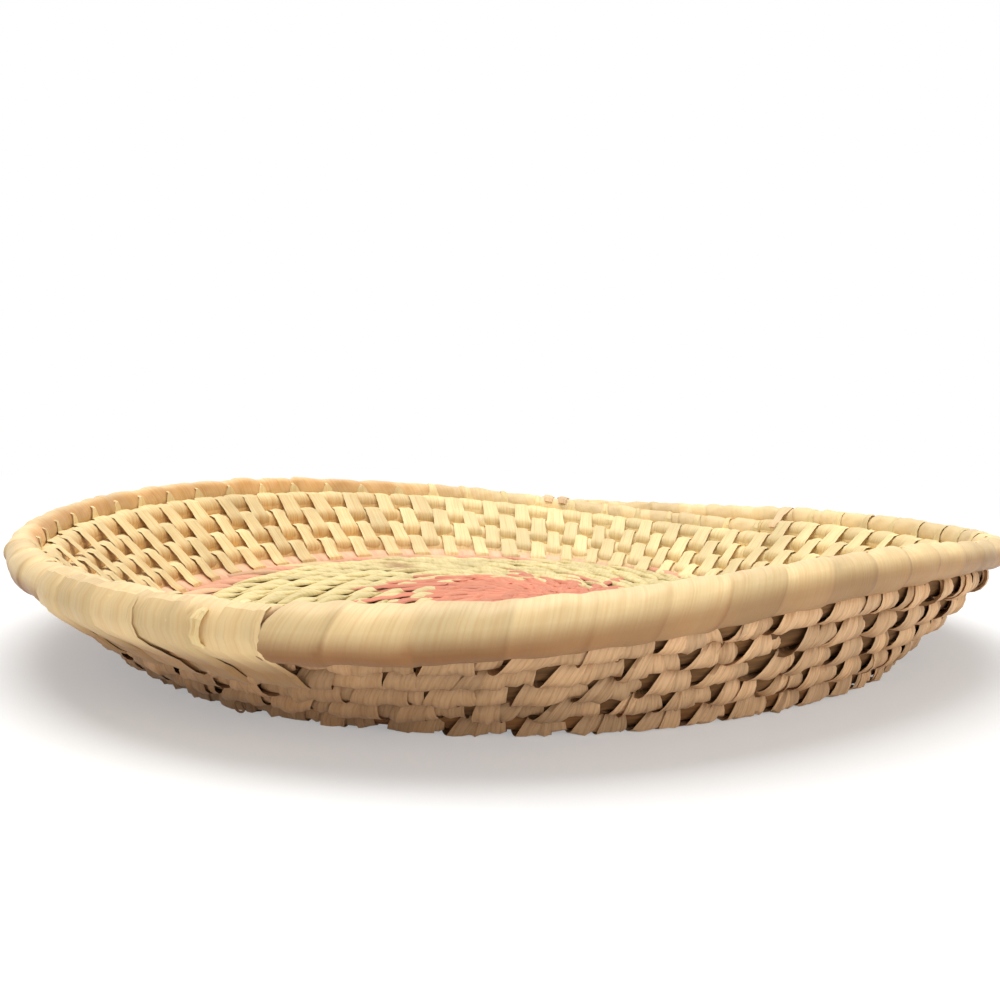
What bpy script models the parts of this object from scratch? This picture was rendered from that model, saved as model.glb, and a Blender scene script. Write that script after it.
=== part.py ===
"""Coiled basket tray: one grass coil runs from the centre of the floor to the rim, bound by flat strips.

The coil is laid in turns. Every turn stays level for most of its length and climbs one pitch
in the same stretch at the back of the tray, which is where the rim ends in a long taper.
A place on the coil is its turn count s: 0 to 1 is the outermost turn of the floor, 1 to 5 the
wall, 5 to 6 the rim. Each wall stitch is a flat strip that holds one turn to the turn below it.
"""

import math

import bmesh
import bpy
import numpy as np

MM = 0.001

# Driving dimensions of the coil
BASE_RADIUS = 106.3 * MM
COIL_PITCH = 7.7 * MM
RIM_PITCH = 8.1 * MM
CORE_HALF = 2.9 * MM
RIM_HALF = 3.4 * MM
KNOT_RADIUS = 2.1 * MM
FLOOR_DOME = 4.8 * MM
EDGE_COIL_HEIGHT = 4.2 * MM
STAND_CUT = 0.5 * MM
WALL_TURNS = 4
CLEARANCE = 0.3 * MM

# Section of the coil, as shares of its half height: its half width, and where its flats end
SIDE_RATIO = 1.07
FLAT_RATIO = 0.55
RIM_FLAT_RATIO = 0.44

# Shape of the hand-made outline: (number of waves round the tray, size, direction of the crest)
BASE_WAVES = ((1, 0.106, 181.0), (3, 0.028, 2.7))
WALL_LEAN = 50.6
LEAN_WAVES = ((1, 7.7, 103.7), (2, 7.3, 57.4), (3, 1.5, 1.5), (4, 1.7, -6.8))
LEAN_LOSS_PER_ROW = 0.67
MIDDLE_ROW = 3

# Where the turns climb, and how the rim ends there
CLIMB_START = 50.0
CLIMB_SHARE = 1.0 / 6.0
TIP_SHARE = 0.62
TIP_GAP = 1.3 * MM

# Binding strips
STITCHES_PER_TURN = 57.5
CROWDING_AT_BACK = 0.12
STRIP_THICKNESS = 0.5 * MM
STRIP_HALF_SHARE = 0.21
RIM_STRIP_HALF_SHARE = 0.25
SHORT_SHARE = 1.0

# The path of a strip: how far along it has moved, as shares of a stitch, and where it bends
LEAN = 0.05
OVER = 0.40
UNDER = 0.50
TUCK_MOVED = 0.56
TUCK_ACROSS = 0.72
TUCK_TILT = 0.4
LOW_EASE = 0.02
RIM_EASE = 0.06
RIM_MOVED = (0.03, 0.10, 0.38, 0.45)
RIM_BEND_ALONG = 0.46
RIM_BEND_ACROSS = 0.54
RIM_BEND_TILT = 0.4

# Dyed star and ring of the floor
STAR_RAYS = 14
STAR_TIP_TURNS = 5
RAY_SPACING = 1.4 * MM
RAY_UNEVENNESS = 0.05
RAY_ROOM = 0.85
RAY_TAPER = 0.8
RAY_NECK = 0.45
RAY_END = 0.3
RAY_END_REACH = 0.2 * COIL_PITCH
LEAF_LIFT = 0.15 * MM
LEAF_THICKNESS = 0.5 * MM
RING_LEAF_HALF = 2.3 * MM
RING_NECK_HALF = 0.7 * MM

# Colours of the grass and of the plain, dyed and faded strips
GRASS = (0.42, 0.27, 0.11)
STRAW = (0.80, 0.62, 0.30)
PINK = (0.80, 0.34, 0.22)
FADED_PINK = (0.72, 0.42, 0.26)

# Facets
INNER_FACETS = 16
FLOOR_FACETS = 24
WALL_FACETS = 36
RIM_FACETS = 48
INNER_END = -9
WALL_FACETS_FROM = -1

# What follows from the sizes above
FLOOR_TURNS = BASE_RADIUS / COIL_PITCH
COIL_START = 1.75 - FLOOR_TURNS
RIM_START = 1 + WALL_TURNS
RIM_END = RIM_START + 1
TIP_END = RIM_END + TIP_SHARE * CLIMB_SHARE
STRIP_MIDDLE = CLEARANCE + STRIP_THICKNESS / 2


def waves(angle, terms):
    """Sum of the cosine waves of a hand-made outline at an angle in radians."""
    return sum(size * np.cos(count * (angle - math.radians(crest))) for count, size, crest in terms)


def smooth(x):
    x = np.clip(x, 0.0, 1.0)
    return x * x * (3 - 2 * x)


def turn_angle(s):
    return math.radians(CLIMB_START) + 2 * math.pi * np.asarray(s, float)


def level(s):
    """Height of the coil in rows: a steady spiral at the centre, level turns with a climb at the edge."""
    s = np.asarray(s, float)
    turn = np.floor(s)
    part = s - turn
    stepped = np.clip(1 + s / FLOOR_TURNS, 0.0, 1.0)
    return turn - 1 + stepped * smooth(part / CLIMB_SHARE) + (1 - stepped) * part


def outline_factor(angle):
    return 1 + waves(angle, BASE_WAVES)


def row_place(row, angle):
    """Radius and height of the middle of the coil in a whole row, from -1 up."""
    edge = BASE_RADIUS * outline_factor(angle)
    if row < 0:
        height = SIDE_RATIO * CORE_HALF * outline_factor(angle) - STAND_CUT
        return np.stack([edge * (1 + row / FLOOR_TURNS), height], -1)
    place = np.stack([edge, np.full_like(edge, EDGE_COIL_HEIGHT)], -1)
    for climbed in range(1, row + 1):
        pitch = RIM_PITCH if climbed > WALL_TURNS else COIL_PITCH
        lean = np.radians(WALL_LEAN + waves(angle, LEAN_WAVES) - LEAN_LOSS_PER_ROW * (climbed - MIDDLE_ROW))
        place = place + pitch * np.stack([np.sin(lean), np.cos(lean)], -1)
    return place


def level_place(rows, angle):
    """Radius and height of the middle of the coil at any level, whole or not."""
    rows = np.asarray(rows, float)
    angle = np.asarray(angle, float)
    inner = np.minimum(rows, -1.0)
    edge = BASE_RADIUS * outline_factor(angle)
    share = (FLOOR_TURNS + inner) / (FLOOR_TURNS - 1)
    dome = FLOOR_DOME * (1 - share ** 2)
    height = SIDE_RATIO * CORE_HALF * outline_factor(angle) - STAND_CUT + dome
    place = np.stack([edge * (1 + inner / FLOOR_TURNS), height], -1)
    for row in range(-1, RIM_START):
        step = row_place(row + 1, angle) - row_place(row, angle)
        place = place + step * np.clip(rows - row, 0.0, 1.0)[..., None]
    return place


def half_height(s):
    """Half the thickness of the bare coil, measured across the gap to its neighbours."""
    s = np.asarray(s, float)
    angle = turn_angle(s)
    floor = CORE_HALF * outline_factor(angle)
    wall = floor + (CORE_HALF - floor) * smooth(s / CLIMB_SHARE)
    rim = wall + (RIM_HALF - wall) * smooth((s - RIM_START) / CLIMB_SHARE)
    return np.where(s > RIM_END, taper_half(s), rim)


def taper_half(s):
    """The end of the rim thins so that its top stays level while the turn below it climbs."""
    below = smooth((s - RIM_END) / CLIMB_SHARE)
    under_half = CORE_HALF + (RIM_HALF - CORE_HALF) * below
    return ((1 - below) * RIM_PITCH + RIM_HALF - TIP_GAP - under_half) / 2


def direction(vector):
    return vector / np.maximum(np.linalg.norm(vector, axis=-1, keepdims=True), 1e-9)


def coil_place(s):
    """Radius and height of the middle of the coil, the tapered end of the rim included."""
    s = np.asarray(s, float)
    angle = turn_angle(s)
    place = level_place(np.minimum(level(s), RIM_START), angle)
    under = level_place(level(s - 1), angle)
    up = level_place(level(s - 1) + 0.01, angle) - level_place(level(s - 1) - 0.01, angle)
    rest = half_height(s - 1) + TIP_GAP + taper_half(s)
    tapered = under + direction(up) * rest[..., None]
    joined = smooth((s - RIM_END) / (0.1 * CLIMB_SHARE))[..., None]
    return place * (1 - joined) + tapered * joined


def frames(s):
    """Directions to the turn above and from the turn below, in the upright plane through the axis."""
    s = np.asarray(s, float)
    here = coil_place(s)
    above = direction(coil_place(s + 1) - here)
    below = direction(here - coil_place(s - 1))
    first = (s - 1 < COIL_START)[..., None]
    last = (s + 1 > TIP_END)[..., None]
    return np.where(last, below, above), np.where(first, above, below)


def outward(up):
    return np.stack([up[..., 1], -up[..., 0]], -1)


def facet_step(s):
    facets = np.select(
        [s < INNER_END, s < WALL_FACETS_FROM, s < RIM_START],
        [INNER_FACETS, FLOOR_FACETS, WALL_FACETS],
        RIM_FACETS,
    )
    return 1 / facets


def in_space(s, plane):
    """Turn radius and height at the angle of s into a point in space."""
    angle = turn_angle(s)
    return np.stack([plane[..., 0] * np.cos(angle), plane[..., 0] * np.sin(angle), plane[..., 1]], -1)


def beside_coil(s, along, across):
    """A point beside the coil: along the direction to its neighbour and across the wall."""
    up, down = frames(s)
    pointing = np.where(np.asarray(along)[..., None] > 0, up, down)
    side = direction(outward(up) + outward(down))
    flank = np.where(np.abs(np.asarray(along))[..., None] > 0, outward(pointing), side)
    return coil_place(s) + np.asarray(along)[..., None] * pointing + np.asarray(across)[..., None] * flank


def beside_facets(s, along, across):
    """The same point, but measured from the straight facets that the coil is made of."""
    step = facet_step(s)
    first = np.floor(s / step + 1e-9) * step
    share = ((s - first) / step)[..., None]
    start = in_space(first, beside_coil(first, along, across))
    end = in_space(first + step, beside_coil(first + step, along, across))
    return start * (1 - share) + end * share


def sections(s_values, profile):
    """Rings of points round the coil, one at each s, from a profile in units of its half height."""
    half = half_height(s_values)
    sides = [in_space(s_values, beside_coil(s_values, along * half, across * half)) for along, across in profile]
    return np.stack(sides, axis=1)


FLOOR_PROFILE = (
    (1, FLAT_RATIO), (0, SIDE_RATIO), (-1, FLAT_RATIO),
    (-1, -FLAT_RATIO), (0, -SIDE_RATIO), (1, -FLAT_RATIO),
)
RIM_PROFILE = (
    (1, RIM_FLAT_RATIO), (RIM_FLAT_RATIO, SIDE_RATIO), (-RIM_FLAT_RATIO, SIDE_RATIO), (-1, RIM_FLAT_RATIO),
    (-1, -RIM_FLAT_RATIO), (-RIM_FLAT_RATIO, -SIDE_RATIO), (RIM_FLAT_RATIO, -SIDE_RATIO), (1, -RIM_FLAT_RATIO),
)


def facet_places(start, end):
    """The values of s at which a stretch of coil has its rings of points."""
    marks = (math.floor(COIL_START), INNER_END, WALL_FACETS_FROM, RIM_START, RIM_END + 1)
    counts = (INNER_FACETS, FLOOR_FACETS, WALL_FACETS, RIM_FACETS)
    runs = [np.arange(a * count, b * count) / count for a, b, count in zip(marks, marks[1:], counts)]
    steps = np.concatenate(runs)
    inside = steps[(steps > start + 0.004) & (steps < end - 0.004)]
    return np.concatenate([[start], inside, [end]])


def material(name, colour, roughness):
    made = bpy.data.materials.new(name)
    made.use_nodes = True
    shader = made.node_tree.nodes["Principled BSDF"]
    shader.inputs["Base Color"].default_value = (*colour, 1.0)
    shader.inputs["Roughness"].default_value = roughness
    shader.inputs["Metallic"].default_value = 0.0
    made.diffuse_color = (*colour, 1.0)
    return made


def tube(name, rings, colour, roughness=0.7):
    """One closed solid through a row of rings of points, with flat ends."""
    count = rings.shape[1]
    shape = bmesh.new()
    loops = [[shape.verts.new(point) for point in ring] for ring in rings]
    for near, far in zip(loops, loops[1:]):
        for i in range(count):
            j = (i + 1) % count
            shape.faces.new((near[i], near[j], far[j], far[i]))
    shape.faces.new(loops[0][::-1])
    shape.faces.new(loops[-1])
    bmesh.ops.triangulate(shape, faces=shape.faces[:])
    bmesh.ops.recalc_face_normals(shape, faces=shape.faces[:])
    mesh = bpy.data.meshes.new(name)
    shape.to_mesh(mesh)
    shape.free()
    mesh.materials.append(material(name, colour, roughness))
    item = bpy.data.objects.new(name, mesh)
    bpy.context.collection.objects.link(item)
    return item


def coil_stretch(name, start, end, profile, colour):
    return tube(name, sections(facet_places(start, end), profile), colour)


def stitch_place(number):
    """The s of a stitch number: stitches lie closer together at the back than at the front."""
    number = np.asarray(number, float)
    s = number / STITCHES_PER_TURN
    for _ in range(12):
        s = number / STITCHES_PER_TURN + CROWDING_AT_BACK / (2 * math.pi) * np.cos(turn_angle(s))
    return s


def stitch_number(s):
    return STITCHES_PER_TURN * (s - CROWDING_AT_BACK / (2 * math.pi) * math.cos(turn_angle(s)))


class Corner:
    """One bend of a strip: which turn it is beside, and where, in the order the strip meets it."""

    def __init__(self, turns_below, along, across, lean_along, lean_across, moved, half_share):
        self.turns_below = turns_below
        self.along = along
        self.across = across
        self.lean = (lean_along, lean_across)
        self.moved = moved
        self.half_share = half_share


def bend_points(numbers, corner):
    """The four points of a strip at one bend, for many stitches at once."""
    points = []
    for side, face in ((-1, -1), (1, -1), (1, 1), (-1, 1)):
        s = stitch_place(numbers + corner.moved + side * corner.half_share) - corner.turns_below
        half = half_height(s)
        along = corner.along * half + np.sign(corner.along) * STRIP_MIDDLE
        across = corner.across * half + np.sign(corner.across) * STRIP_MIDDLE
        along = along + face * corner.lean[0] * STRIP_THICKNESS / 2
        across = across + face * corner.lean[1] * STRIP_THICKNESS / 2
        points.append(beside_facets(s, along, across))
    return np.stack(points, axis=1)


def strip_rings(first, last, stitch):
    """Every ring of points of a strip, from stitch number first to last."""
    numbers = np.arange(first, last, dtype=float)
    bends = np.stack([bend_points(numbers, corner) for corner in stitch], axis=1)
    return bends.reshape(-1, 4, 3)


# A strip goes up the inside, over the turn, down the outside and back in below the lower turn
PLAIN_STITCH = (
    Corner(1, -1, -SIDE_RATIO, -1, -1, 0.00, STRIP_HALF_SHARE),
    Corner(0, 1, -SIDE_RATIO, 1, -1, LEAN, STRIP_HALF_SHARE),
    Corner(0, 1, SIDE_RATIO, 1, 1, LEAN + OVER, STRIP_HALF_SHARE),
    Corner(1, -1, SIDE_RATIO, -1, 1, 1 - UNDER, STRIP_HALF_SHARE),
)
LOW_STITCH = (
    PLAIN_STITCH[0], PLAIN_STITCH[1], PLAIN_STITCH[2],
    Corner(1, 0, SIDE_RATIO + LOW_EASE, 0, 1, 1 - UNDER, STRIP_HALF_SHARE),
    Corner(1, -1, TUCK_ACROSS, -1, TUCK_TILT, TUCK_MOVED, STRIP_HALF_SHARE),
)
SHORT_STITCH = (
    Corner(0, -1, -SIDE_RATIO, -1, -1, 0.00, STRIP_HALF_SHARE),
    PLAIN_STITCH[1], PLAIN_STITCH[2],
    Corner(0, 0, SIDE_RATIO + LOW_EASE, 0, 1, 1 - UNDER, STRIP_HALF_SHARE),
    Corner(0, -1, TUCK_ACROSS, -1, TUCK_TILT, TUCK_MOVED, STRIP_HALF_SHARE),
)
TURNING_STITCH = (SHORT_STITCH[0], PLAIN_STITCH[1], PLAIN_STITCH[2], LOW_STITCH[3], LOW_STITCH[4])


def rim_stitch(half_share):
    """A stitch over the rounded rim, wider on the rim than below it."""
    along, across, tilt = RIM_BEND_ALONG, RIM_BEND_ACROSS, RIM_BEND_TILT
    side, top = SIDE_RATIO + RIM_EASE, 1 + RIM_EASE
    return (
        PLAIN_STITCH[0],
        Corner(0, along, -side, tilt, -1, RIM_MOVED[0], half_share),
        Corner(0, top, -across, 1, -tilt, RIM_MOVED[1], half_share),
        Corner(0, top, across, 1, tilt, RIM_MOVED[2], half_share),
        Corner(0, along, side, tilt, 1, RIM_MOVED[3], half_share),
        PLAIN_STITCH[3],
    )


def wall_strips():
    """One strip for each turn of the wall, each starting where the one before it stops."""
    starts = [math.ceil(stitch_number(s)) for s in range(1, RIM_START + 1)]
    climbed = [math.ceil(stitch_number(s + SHORT_SHARE * CLIMB_SHARE)) for s in (1, 2)]
    stretches = {
        1: [
            (starts[0], climbed[0] - 1, SHORT_STITCH),
            (climbed[0] - 1, climbed[0], TURNING_STITCH),
            (climbed[0], starts[1], LOW_STITCH),
        ],
        2: [(starts[1], climbed[1], LOW_STITCH), (climbed[1], starts[2], PLAIN_STITCH)],
    }
    for row in range(1, WALL_TURNS + 1):
        pieces = stretches.get(row, [(starts[row - 1], starts[row], PLAIN_STITCH)])
        rings = np.concatenate([strip_rings(*piece) for piece in pieces])
        tube(f"wall_stitches_row_{row}", rings, STRAW, 0.55)


def rim_strip():
    """The strip over the rim: narrower where the end of the rim lies on the start of it."""
    marks = (RIM_START, RIM_START + CLIMB_SHARE, RIM_END - 0.01, TIP_END - 0.5 * TIP_SHARE * CLIMB_SHARE)
    numbers = [math.ceil(stitch_number(s)) for s in marks]
    shares = (STRIP_HALF_SHARE, RIM_STRIP_HALF_SHARE, STRIP_HALF_SHARE)
    rings = [
        strip_rings(first, last, rim_stitch(share))
        for first, last, share in zip(numbers, numbers[1:], shares)
    ]
    tube("rim_stitches", np.concatenate(rings), STRAW, 0.55)


def facet_centre(s):
    """Radius and height of the coil's middle on its straight facets."""
    step = facet_step(s)
    first = np.floor(s / step + 1e-9) * step
    share = (s - first) / step
    start = in_space(first, coil_place(first))
    end = in_space(first + step, coil_place(first + step))
    point = start * (1 - share) + end * share
    return np.array([math.hypot(point[0], point[1]), point[2]])


def crest(s):
    """A place just above the top of the floor coil."""
    lift = CLEARANCE + LEAF_LIFT
    return facet_centre(s) + np.array([0.0, SIDE_RATIO * float(half_height(s)) + lift])


def valley(s):
    """A place in the dip between the floor coil at s and the next turn of it."""
    between = (facet_centre(s) + facet_centre(s + 1)) / 2
    return between + np.array([0.0, FLAT_RATIO * float(half_height(s)) + 4 * CLEARANCE])


def leaf_ring(s, half_width, place, past=0.0):
    """Four points across a flat leaf that follows the coil, half_width to each side of s."""
    low = []
    for side in (-1, 1):
        s_edge = s + side * half_width / (2 * math.pi * place(s)[0])
        low.append(in_space(s_edge, place(s_edge) + np.array([past, 0.0])))
    high = [point + np.array([0.0, 0.0, LEAF_THICKNESS]) for point in low]
    return [low[0], low[1], high[1], high[0]]


def star_ray(index):
    """One ray of the star: a leaf on every turn of coil that it crosses, joined by narrow necks."""
    angle = 2 * math.pi * (index + RAY_UNEVENNESS * math.sin(2.4 * index)) / STAR_RAYS
    part = ((angle - math.radians(CLIMB_START)) / (2 * math.pi)) % 1.0
    first = math.ceil(COIL_START + 0.75 - part) + part
    turns = STAR_TIP_TURNS + (1 if index % 3 == 1 else 0)
    rings = []
    for count in range(turns):
        s = first + count
        room = RAY_ROOM * math.pi * facet_centre(s)[0] / STAR_RAYS - RAY_SPACING / 2
        leaf = room * (1 - RAY_TAPER * float(smooth((count - 1) / (turns - 1))))
        if count == 0:
            rings.append(leaf_ring(s, RAY_END * leaf, crest, -RAY_END_REACH))
        rings.append(leaf_ring(s, leaf, crest))
        if count < turns - 1:
            rings.append(leaf_ring(s, RAY_NECK * leaf, valley))
    rings.append(leaf_ring(s, RAY_END * leaf, crest, RAY_END_REACH))
    return tube(f"star_ray_{index + 1:02d}", np.array(rings), PINK, 0.6)


def floor_ring():
    """The dyed ring on the last floor turn: a leaf for each stitch, joined end to end."""
    start = math.ceil(2 * stitch_number(-1 + 0.6 * CLIMB_SHARE))
    end = math.floor(2 * stitch_number(0.25 * CLIMB_SHARE))
    rings = []
    for half_number in range(start, end + 1):
        wide = RING_LEAF_HALF if half_number % 2 == 0 else RING_NECK_HALF
        s = float(stitch_place(half_number / 2))
        low = [in_space(s, crest(s) + np.array([side * wide, 0.0])) for side in (-1, 1)]
        high = [point + np.array([0.0, 0.0, LEAF_THICKNESS]) for point in low]
        rings.append([low[0], low[1], high[1], high[0]])
    return tube("floor_ring_stitches", np.array(rings), FADED_PINK, 0.6)


def start_knot():
    """The tight tuft in the eye of the spiral, where the coil begins."""
    height = float(coil_place(COIL_START)[1])
    knot = bmesh.new()
    bmesh.ops.create_uvsphere(knot, u_segments=10, v_segments=6, radius=KNOT_RADIUS)
    for vert in knot.verts:
        vert.co.z = vert.co.z * 1.3 + height
    bmesh.ops.triangulate(knot, faces=knot.faces[:])
    mesh = bpy.data.meshes.new("start_knot")
    knot.to_mesh(mesh)
    knot.free()
    mesh.materials.append(material("start_knot", PINK, 0.6))
    item = bpy.data.objects.new("start_knot", mesh)
    bpy.context.collection.objects.link(item)
    return item


def cut_flat(item):
    """The last floor turn is worn flat where the tray stands, at height 0."""
    reach = 2 * BASE_RADIUS
    depth = 10 * MM
    bpy.ops.mesh.primitive_cube_add(size=1)
    cutter = bpy.context.object
    cutter.name = "stand_cutter"
    cutter.scale = (2 * reach, 2 * reach, depth)
    cutter.location = (0, 0, -depth / 2)
    cutter.hide_render = True
    cutter.display_type = "WIRE"
    cut = item.modifiers.new("stand", "BOOLEAN")
    cut.operation = "DIFFERENCE"
    cut.solver = "EXACT"
    cut.object = cutter
    return cutter


def centre_model(cutter):
    """Put the middle of the outer box on the Z axis, so that the tray is placed by its box."""
    items = [item for item in bpy.data.objects if item.type == "MESH" and item is not cutter]
    points = np.concatenate([[vert.co[:] for vert in item.data.vertices] for item in items])
    middle = (points.min(axis=0) + points.max(axis=0)) / 2
    for item in items:
        item.location = (-middle[0], -middle[1], 0)
    return middle


def least_gap(start, end):
    """Least distance between neighbouring turns of bare coil, on points along it."""
    s = np.linspace(start, end - 1, 4000)
    apart = np.linalg.norm(coil_place(s + 1) - coil_place(s), axis=-1)
    return float((apart - half_height(s) - half_height(s + 1)).min())


def build():
    for item in list(bpy.data.objects):
        bpy.data.objects.remove(item)
    joint = CLEARANCE / (4 * math.pi * BASE_RADIUS)
    start_knot()
    base = coil_stretch("base_coil", COIL_START, 1 - joint, FLOOR_PROFILE, GRASS)
    coil_stretch("wall_coil", 1 + joint, RIM_START - joint, FLOOR_PROFILE, GRASS)
    coil_stretch("rim_coil", RIM_START + joint, TIP_END, RIM_PROFILE, GRASS)
    wall_strips()
    rim_strip()
    floor_ring()
    for index in range(STAR_RAYS):
        star_ray(index)
    cutter = cut_flat(base)
    middle = centre_model(cutter)
    for name, start, end in (("floor", COIL_START, 1), ("wall", 1, RIM_START), ("rim end", RIM_START, TIP_END)):
        print(f"least gap between turns, {name}: {least_gap(start, end) / MM:.2f} mm")
    print("star centre is at", [round(-value / MM, 2) for value in middle[:2]], "mm")


build()
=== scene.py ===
import math

import bpy
import numpy as np
from mathutils import Matrix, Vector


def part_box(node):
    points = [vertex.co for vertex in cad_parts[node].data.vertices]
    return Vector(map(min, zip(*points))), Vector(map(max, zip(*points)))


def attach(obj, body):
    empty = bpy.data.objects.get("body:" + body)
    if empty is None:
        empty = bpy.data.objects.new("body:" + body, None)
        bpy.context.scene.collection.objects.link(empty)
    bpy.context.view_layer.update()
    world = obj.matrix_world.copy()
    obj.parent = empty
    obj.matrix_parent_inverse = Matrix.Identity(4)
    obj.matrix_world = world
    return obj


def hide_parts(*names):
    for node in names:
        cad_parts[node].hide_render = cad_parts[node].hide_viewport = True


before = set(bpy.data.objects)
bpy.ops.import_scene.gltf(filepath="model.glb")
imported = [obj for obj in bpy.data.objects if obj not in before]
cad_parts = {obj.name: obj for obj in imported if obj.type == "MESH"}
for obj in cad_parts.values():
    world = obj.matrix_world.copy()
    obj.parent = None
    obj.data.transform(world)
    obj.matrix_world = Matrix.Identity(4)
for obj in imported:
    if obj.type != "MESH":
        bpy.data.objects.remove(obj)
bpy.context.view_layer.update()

bl_info = {
    "name": "Coiled basket tray",
    "version": (1, 0, 0),
    "blender": (4, 5, 0),
    "location": "3D View > Sidebar > Basket",
    "description": "Dresses a coiled basket tray with its leaf strips, wrapped rim and dyed star",
    "category": "Add Mesh",
}

MM = 0.001

# The outline of the tray, as in its solids.
# A wave is (number round the tray, size, direction of its crest).
BASE_WAVES = ((1, 0.106, 181.0), (3, 0.028, 2.7))
WALL_LEAN = 50.6
LEAN_WAVES = ((1, 7.7, 103.7), (2, 7.3, 57.4), (3, 1.5, 1.5), (4, 1.7, -6.8))
LEAN_LOSS_PER_ROW = 0.67
MIDDLE_ROW = 3
WALL_TURNS = 4
RIM_START = 1 + WALL_TURNS
RIM_END = RIM_START + 1
CLIMB_START = 50.0
CLIMB_SHARE = 1.0 / 6.0
TIP_SHARE = 0.62
TIP_END = RIM_END + TIP_SHARE * CLIMB_SHARE
CROWDING_AT_BACK = 0.12
SIDE_RATIO = 1.07
WRAP_EDGE = 247.2

# Deeper colours, in folds and under dye, that go with the pale ones below. They give the fibres
# and the painted shade where strips dive or fold.
# Brown of real stains and of painted shade: under the rim, at its folds and on the fans at the
# front left
WORN_AND_SHADED_BROWN = "#9A6C42"
# Deep colour of the outside's painted shade
OUTSIDE_SHADE_DEEP = "#A8784C"
FLOOR_DEEP = "#B9A15C"
DYED_DEEP = "#C05A44"
FADED_DEEP = "#C7785A"
PINK_COIL, PINK_COIL_DEEP, PINK_COIL_GRASS = "#EABF98", "#C78862", "#A27040"
TIP_PALE, TIP_DEEP = "#E9C699", "#CB9E74"


class BasketSizes(bpy.types.PropertyGroup):
    """Sizes of the coil and of the strips that bind it."""

    base_radius: bpy.props.FloatProperty(
        name="Floor radius", description="Mean radius of the outermost floor turn",
        default=106.3 * MM, min=50 * MM, max=300 * MM, unit="LENGTH")
    coil_pitch: bpy.props.FloatProperty(
        name="Coil pitch", description="Distance from one turn of the coil to the next",
        default=7.7 * MM, min=3 * MM, max=20 * MM, unit="LENGTH")
    rim_pitch: bpy.props.FloatProperty(
        name="Rim pitch", description="Distance from the top wall turn to the rim",
        default=8.1 * MM, min=3 * MM, max=20 * MM, unit="LENGTH")
    core_half: bpy.props.FloatProperty(
        name="Coil half thickness", description="Half the thickness of the coil in the wall",
        default=2.9 * MM, min=1 * MM, max=8 * MM, unit="LENGTH")
    rim_half: bpy.props.FloatProperty(
        name="Rim half thickness", description="Half the thickness of the coil in the rim",
        default=3.4 * MM, min=1 * MM, max=10 * MM, unit="LENGTH")
    floor_dome: bpy.props.FloatProperty(
        name="Floor dome", description="How far the middle of the floor stands above its edge",
        default=4.8 * MM, min=0, max=20 * MM, unit="LENGTH")
    edge_height: bpy.props.FloatProperty(
        name="Edge height", description="Height of the middle of the outermost floor turn",
        default=4.2 * MM, min=0, max=20 * MM, unit="LENGTH")
    stand_cut: bpy.props.FloatProperty(
        name="Stand wear", description="Depth that the floor is worn flat where the tray stands",
        default=0.5 * MM, min=0, max=2 * MM, unit="LENGTH")
    tip_gap: bpy.props.FloatProperty(
        name="Rim end gap", description="Gap between the rim's tapered end and the turn below it",
        default=1.3 * MM, min=0, max=4 * MM, unit="LENGTH")
    stitches: bpy.props.FloatProperty(
        name="Stitches to a turn", description="Number of long stitches in one turn of the wall",
        default=57.5, min=20, max=120)
    strip_thickness: bpy.props.FloatProperty(
        name="Strip thickness", description="Thickness of a flat leaf strip",
        default=0.55 * MM, min=0.1 * MM, max=2 * MM, unit="LENGTH")
    strip_width: bpy.props.FloatProperty(
        name="Strip width", description="Width of the leaf strips as a multiple of the usual width",
        default=1.0, min=0.4, max=1.5)
    leaf_spacing: bpy.props.FloatProperty(
        name="Floor stitch spacing",
        description="Distance from one floor stitch to the next along the coil",
        default=9.4 * MM, min=3 * MM, max=30 * MM, unit="LENGTH")
    star_rays: bpy.props.IntProperty(
        name="Star rays", description="Number of rays of the dyed star", default=14, min=4, max=40)


class BasketColours(bpy.types.PropertyGroup):
    """Colours of the strips, as written in sRGB."""

    strip_pale: bpy.props.StringProperty(
        name="Strip, pale", description="Sunlit colour of an undyed leaf strip", default="#F0D9A0")
    # The deep colour gives the fibres and the painted shade where a strip dives
    strip_deep: bpy.props.StringProperty(
        name="Strip, deep", description="Colour of an undyed strip where it dives",
        default="#D69A57")
    rim_pale: bpy.props.StringProperty(
        name="Rim, pale", description="Colour of the rim's wraps", default="#EFD29C")
    floor_pale: bpy.props.StringProperty(
        name="Floor strip", description="Colour of the undyed floor stitches", default="#E8D49B")
    # Painted shade: the outside strips are a tanner copy of the pale strip
    shaded_outside: bpy.props.StringProperty(
        name="Strip, outside", description="Tan of the undyed strips on the outside",
        default="#EFC597")
    dyed: bpy.props.StringProperty(
        name="Dyed strip", description="Salmon pink of the star", default="#DC8E6C")
    faded: bpy.props.StringProperty(
        name="Faded strip", description="Washed out pink of the floor ring", default="#E5A585")
    grass: bpy.props.StringProperty(
        name="Grass", description="Colour of the grass bundle inside the coil", default="#8A6238")


class StudioSettings(bpy.types.PropertyGroup):
    """The camera and the lamps."""

    lens: bpy.props.FloatProperty(
        name="Lens", description="Focal length on a 36 mm wide sensor",
        default=52.03, min=10, max=300, unit="CAMERA")
    key_power: bpy.props.FloatProperty(
        name="Key lamp", description="Power of the soft lamp overhead",
        default=14.0, min=0, max=200, unit="POWER")
    fill_power: bpy.props.FloatProperty(
        name="Fill lamp", description="Power of the soft lamp beside the camera",
        default=3.6, min=0, max=200, unit="POWER")
    sky: bpy.props.FloatProperty(
        name="Sky", description="Strength of the even light from all sides",
        default=0.34, min=0, max=5)


def sizes():
    """Sizes as set in the sidebar."""
    return bpy.context.scene.basket_sizes


def colours():
    """Colours as set in the sidebar."""
    return bpy.context.scene.basket_colours


def axis_place():
    """The spiral's axis stands where the knot is: the middle of its box."""
    low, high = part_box("start_knot")
    return (low[0] + high[0]) / 2, (low[1] + high[1]) / 2


# Shape of the coil, in the words of the solids


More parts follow.
